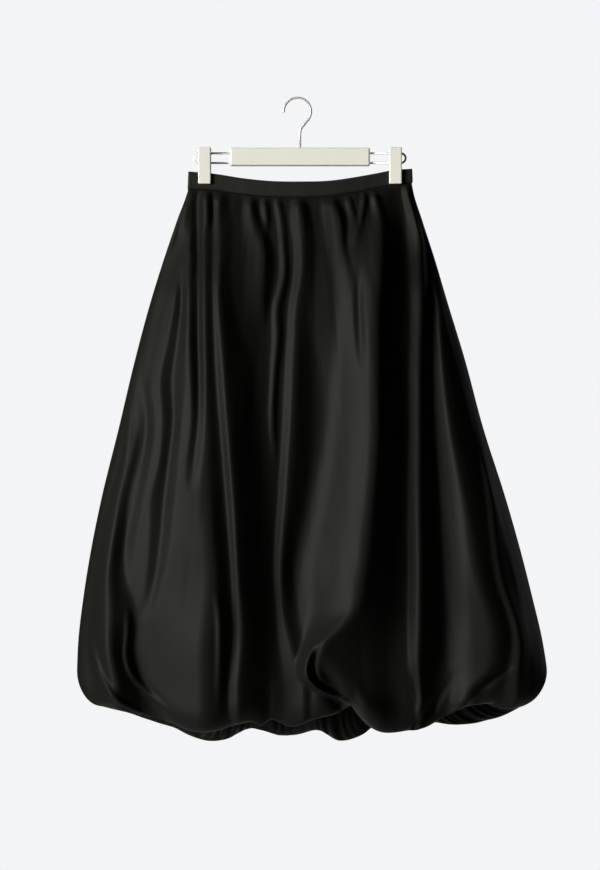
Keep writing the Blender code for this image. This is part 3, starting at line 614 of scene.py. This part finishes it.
# ================================================================ materials
class Nodes:
    """A small helper that adds shader nodes and links them by name."""

    def __init__(self, name):
        self.material = bpy.data.materials.new(name)
        self.material.use_nodes = True
        self.tree = self.material.node_tree
        self.shader = self.tree.nodes["Principled BSDF"]

    def add(self, kind, inputs=(), **settings):
        node = self.tree.nodes.new(kind)
        for key, value in settings.items():
            setattr(node, key, value)
        for key, value in dict(inputs).items():
            if isinstance(value, bpy.types.NodeSocket):
                self.tree.links.new(value, node.inputs[key])
            else:
                node.inputs[key].default_value = value
        return node

    def set(self, **inputs):
        for key, value in inputs.items():
            socket = self.shader.inputs[key.replace("_", " ")]
            if isinstance(value, bpy.types.NodeSocket):
                self.tree.links.new(value, socket)
            else:
                socket.default_value = value

    def ramp(self, factor, low, high, start=0.3, end=0.7):
        node = self.add("ShaderNodeMapRange", {"Value": factor, "From Min": start, "From Max": end,
                                               "To Min": low, "To Max": high})
        return node.outputs["Result"]

    def noise(self, place, stretch, **inputs):
        """Noise that is finer or coarser along each axis by the stretch."""
        along = self.add("ShaderNodeMapping", {"Vector": place, "Scale": stretch}).outputs["Vector"]
        return self.add("ShaderNodeTexNoise", {"Vector": along, "Scale": 1.0, **inputs}).outputs["Fac"]

    def bump(self, height, distance, strength=1.0, **inputs):
        values = {"Height": height, "Strength": strength, "Distance": distance, **inputs}
        return self.add("ShaderNodeBump", values).outputs["Normal"]

    def tint(self, factor, one, other):
        node = self.add("ShaderNodeMix", {"Factor": factor}, data_type="RGBA")
        node.inputs[6].default_value = one
        node.inputs[7].default_value = other
        return node.outputs[2]


# The hem's fine puckers fade in between these two heights of the cloth's UVs: metres, negative downwards.
TURNED_UNDER = (-0.845, -0.875)


def satin_material(name, painted_lightness=1.0):
    n = Nodes(name)
    # The second argument scales the satin's colour: above 1 it is painted light, a lit copy of the same
    # cloth.
    dark, light = ([channel * painted_lightness for channel in tone] + [1.0]
                   for tone in ((0.0072, 0.0074, 0.0060), (0.0092, 0.0095, 0.0077)))
    place = n.add("ShaderNodeUVMap", uv_map="cloth").outputs["UV"]
    slub = n.noise(place, (900.0, 60.0, 1.0), Detail=3.0)
    streak = n.noise(place, (42.0, 3.0, 1.0), Detail=1.5, Roughness=0.4)
    ripple = n.noise(place, (16.0, 4.0, 1.0), Detail=2.0, Roughness=0.45)
    pucker = n.noise(place, (190.0, 9.0, 1.0), Detail=2.0)
    along = n.add("ShaderNodeSeparateXYZ", {"Vector": place}).outputs["Y"]
    inside = n.ramp(along, 0.0, 1.0, *TURNED_UNDER)
    pucker = n.add("ShaderNodeMath", {0: pucker, 1: inside}, operation="MULTIPLY").outputs[0]
    n.set(Base_Color=n.tint(slub, dark, light))
    n.set(Roughness=n.ramp(slub, 0.46, 0.53), Specular_IOR_Level=0.050, Specular_Tint=(0.96, 1.0, 0.84, 1))
    normal = n.bump(slub, 0.0002, strength=0.12)
    for height, distance in ((streak, 0.0009), (pucker, 0.0038), (ripple, 0.0026)):
        normal = n.bump(height, distance, Normal=normal)
    n.set(Normal=normal)
    return n.material


def plastic_material(name):
    n = Nodes(name)
    place = n.add("ShaderNodeTexCoord").outputs["Object"]
    cloud = n.add("ShaderNodeTexNoise", {"Vector": place, "Scale": 18.0, "Detail": 3.0}).outputs["Fac"]
    grain = n.add("ShaderNodeTexNoise", {"Vector": place, "Scale": 900.0, "Detail": 2.0}).outputs["Fac"]
    n.set(Base_Color=n.tint(cloud, (0.89, 0.87, 0.755, 1), (0.92, 0.90, 0.79, 1)), Specular_IOR_Level=0.45)
    n.set(Roughness=n.ramp(cloud, 0.40, 0.50))
    n.set(Normal=n.bump(grain, 0.0002, strength=0.08))
    return n.material


def steel_material(name):
    n = Nodes(name)
    place = n.add("ShaderNodeTexCoord").outputs["Object"]
    scuff = n.add("ShaderNodeTexNoise", {"Vector": place, "Scale": 240.0, "Detail": 4.0}).outputs["Fac"]
    n.set(Base_Color=n.tint(scuff, (0.84, 0.83, 0.78, 1), (0.90, 0.89, 0.85, 1)), Metallic=0.4)
    n.set(Roughness=n.ramp(scuff, 0.26, 0.38))
    return n.material


SATIN = satin_material("black_satin")
# The waistband's satin is the same cloth with its colour 2.4 times lighter: painted light on the band's flat
# face.
BAND_SATIN_PAINTED_LIGHTER = satin_material("black_satin_painted_lighter", 2.4)
PLASTIC = plastic_material("cream_plastic")
STEEL = steel_material("nickel_wire")


# ================================================================ build
# The flat size of what shows of each cut piece, in metres and square metres. The skirt's areas are judged to
# be 11 % (front) and 7 % (back) more than its meshes', for what gathers finer than the mesh take up.
Cut = namedtuple("Cut", "width length area held rests_on")


def build_cloth():
    for side, half in ((-1, "front"), (1, "back")):
        form = (({**FRONT_FOLDS, **FRONT_CREASES, **WAIST_GATHERS}, FRONT_PINCHES, HEM_FRONT) if side < 0
                else (BACK_FOLDS, BACK_PINCHES, HEM_BACK))
        for kind, points, wall, finish, slot in (
            ("skirt", skirt_points(side, *form), SKIRT_WALL, SATIN, "satin"),
            ("waistband", band_points(side), BAND_WALL, BAND_SATIN_PAINTED_LIGHTER, "satin"),
        ):
            piece = cloth_wall(f"{kind}_{half}_cloth", points, side, wall, finish)
            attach(piece, "root")
            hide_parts(f"{kind}_{half}")


def arc_points(centre, radius, start_deg, end_deg, steps):
    angles = [math.radians(start_deg + (end_deg - start_deg) * i / steps) for i in range(steps + 1)]
    return [(centre[0] + radius * math.cos(a), centre[1] + radius * math.sin(a)) for a in angles]


def hook_points():
    """The hook's arc, its bend into the stem and the stem, as x and z."""
    points = arc_points((0.0, WIRE / 2 - HOOK_RADIUS), HOOK_RADIUS, HOOK_START_DEG, HOOK_END_DEG, WIRE_STEPS)
    corner = (MIDDLE_X, -NECK_DROP)
    last = points[-1]
    before = tuple(c + (l - c) * NECK_START_SHARE for c, l in zip(corner, last))
    end = (MIDDLE_X, -NECK_DROP - NECK_LENGTH)
    points += [tuple((1 - t) ** 2 * b + 2 * t * (1 - t) * c + t * t * e
                     for b, c, e in zip(before, corner, end))
               for t in np.linspace(0, 1, NECK_STEPS)]
    return points + [(MIDDLE_X, -BAR_TOP + GAP)]


def rod_points(side):
    """One wire loop: out along the upper rod, round the end and back along the lower rod."""
    upper, lower = ROD_DROPS
    radius = (lower - upper) / 2
    turn = ROD_REACH - radius - ROD / 2
    start = BAR_WIDTH / 2 + GAP
    arc = arc_points((turn, -(upper + lower) / 2), radius, 90, -90, WIRE_STEPS)
    return [(MIDDLE_X + side * x, z) for x, z in [(start, -upper)] + arc + [(start, -lower)]]


def wire_piece(name, points, diameter):
    """A round wire along points in the middle plane, with closed ends."""
    path = np.array(points)
    step = np.gradient(path, axis=0)
    along = step / np.linalg.norm(step, axis=1)[:, None]
    verts = []
    for (x, z), (dx, dz) in zip(path, along):
        for angle in np.linspace(0, 2 * math.pi, WIRE_SIDES, endpoint=False):
            out = diameter / 2 * math.cos(angle)
            verts.append(((x - dz * out) * MM, diameter / 2 * math.sin(angle) * MM, (z + dx * out) * MM))
    rings = len(path)
    faces = [tuple(range(WIRE_SIDES))[::-1], tuple(range((rings - 1) * WIRE_SIDES, rings * WIRE_SIDES))]
    for i in range(rings - 1):
        for j in range(WIRE_SIDES):
            a, b = i * WIRE_SIDES + j, i * WIRE_SIDES + (j + 1) % WIRE_SIDES
            faces.append((a, b, b + WIRE_SIDES, a + WIRE_SIDES))
    mesh = bpy.data.meshes.new(name)
    mesh.from_pydata(verts, [], faces)
    form = bmesh.new()
    form.from_mesh(mesh)
    bmesh.ops.recalc_face_normals(form, faces=form.faces)
    form.to_mesh(mesh)
    form.free()
    mesh.shade_smooth()
    return mesh_object(name, mesh, STEEL)


def build_wires():
    for node, points, diameter in (
        ("hanger_hook", hook_points(), WIRE),
        ("hanger_rod_left", rod_points(-1), ROD),
        ("hanger_rod_right", rod_points(1), ROD),
    ):
        piece = wire_piece(node + "_wire", points, diameter)
        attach(piece, "root")
        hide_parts(node)


def dress_plastic():
    for name in ("hanger_bar", "clip_left", "clip_right"):
        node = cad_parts[name]
        node.data.materials.clear()
        node.data.materials.append(PLASTIC)


# ================================================================ camera and light
CAMERA_DISTANCE = 3.6
FRAME_HEIGHT = 1.305  # what the picture's height covers at the skirt's middle plane, metres
CAMERA_HEIGHT = -0.504
SENSOR = 36.0
FLOOR_HEIGHT = -1.45
FLOOR_RADIUS = 1.25
Lamp = namedtuple("Lamp", "name place aim size power spread glossy")
LAMPS = [
    Lamp("key", (-2.66, -1.93, 0.0), (0.8, 0, -0.62), (2.0, 2.2), 29, 50, True),
    Lamp("fill", (-0.9, -3.3, 0.6), (0, 0, -0.5), (1.6, 1.6), 1.5, 180, True),
    Lamp("behind", (-0.6, 3.2, 0.2), (0, 0, -0.55), (2.0, 2.2), 110, 180, False),  # no rim along the outline
    Lamp("rim", (2.3, 1.9, 0.0), (0, 0, -0.55), (1.2, 2.0), 5, 180, True),
]
ROOM_TINT, ROOM_STRENGTH = (0.9, 0.92, 0.95, 1), 0.004
BACKDROP = (0.895, 0.905, 0.925, 1)


def set_camera():
    data = bpy.data.cameras.new("camera")
    data.sensor_width = SENSOR
    data.lens = SENSOR * CAMERA_DISTANCE / FRAME_HEIGHT
    camera = bpy.data.objects.new("camera", data)
    camera.location = (MIDDLE_X * MM, -CAMERA_DISTANCE, CAMERA_HEIGHT)
    camera.rotation_euler = (math.pi / 2, 0, 0)
    bpy.context.scene.collection.objects.link(camera)
    bpy.context.scene.camera = camera


def area_light(lamp):
    data = bpy.data.lights.new(lamp.name, "AREA")
    data.shape = "RECTANGLE"
    data.size, data.size_y = lamp.size
    data.energy = lamp.power
    data.spread = math.radians(lamp.spread)
    piece = bpy.data.objects.new(lamp.name, data)
    piece.location = lamp.place
    piece.rotation_euler = (Vector(lamp.aim) - Vector(lamp.place)).to_track_quat("-Z", "Y").to_euler()
    piece.visible_glossy = lamp.glossy
    bpy.context.scene.collection.objects.link(piece)


def set_light():
    for lamp in LAMPS:
        area_light(lamp)
    world = bpy.data.worlds.new("studio")
    world.use_nodes = True
    tree = world.node_tree
    out = tree.nodes["World Output"]
    dim = tree.nodes["Background"]
    dim.inputs["Color"].default_value = ROOM_TINT
    dim.inputs["Strength"].default_value = ROOM_STRENGTH
    pale = tree.nodes.new("ShaderNodeBackground")
    pale.inputs["Color"].default_value = BACKDROP
    pale.inputs["Strength"].default_value = 1.0
    path = tree.nodes.new("ShaderNodeLightPath")
    mix = tree.nodes.new("ShaderNodeMixShader")
    tree.links.new(path.outputs["Is Camera Ray"], mix.inputs[0])
    tree.links.new(dim.outputs[0], mix.inputs[1])
    tree.links.new(pale.outputs[0], mix.inputs[2])
    tree.links.new(mix.outputs[0], out.inputs["Surface"])
    bpy.context.scene.world = world
    bpy.context.scene.view_settings.view_transform = "Standard"


def build_floor():
    mesh = bpy.data.meshes.new("floor")
    form = bmesh.new()
    bmesh.ops.create_circle(form, cap_ends=True, segments=96, radius=FLOOR_RADIUS)
    form.to_mesh(mesh)
    form.free()
    n = Nodes("pale_floor")
    n.set(Base_Color=(0.86, 0.86, 0.86, 1), Roughness=0.8)
    floor = mesh_object("floor", mesh, n.material)
    floor.location = (0, 0, FLOOR_HEIGHT)


build_cloth()
build_wires()
dress_plastic()
build_floor()
set_camera()
set_light()
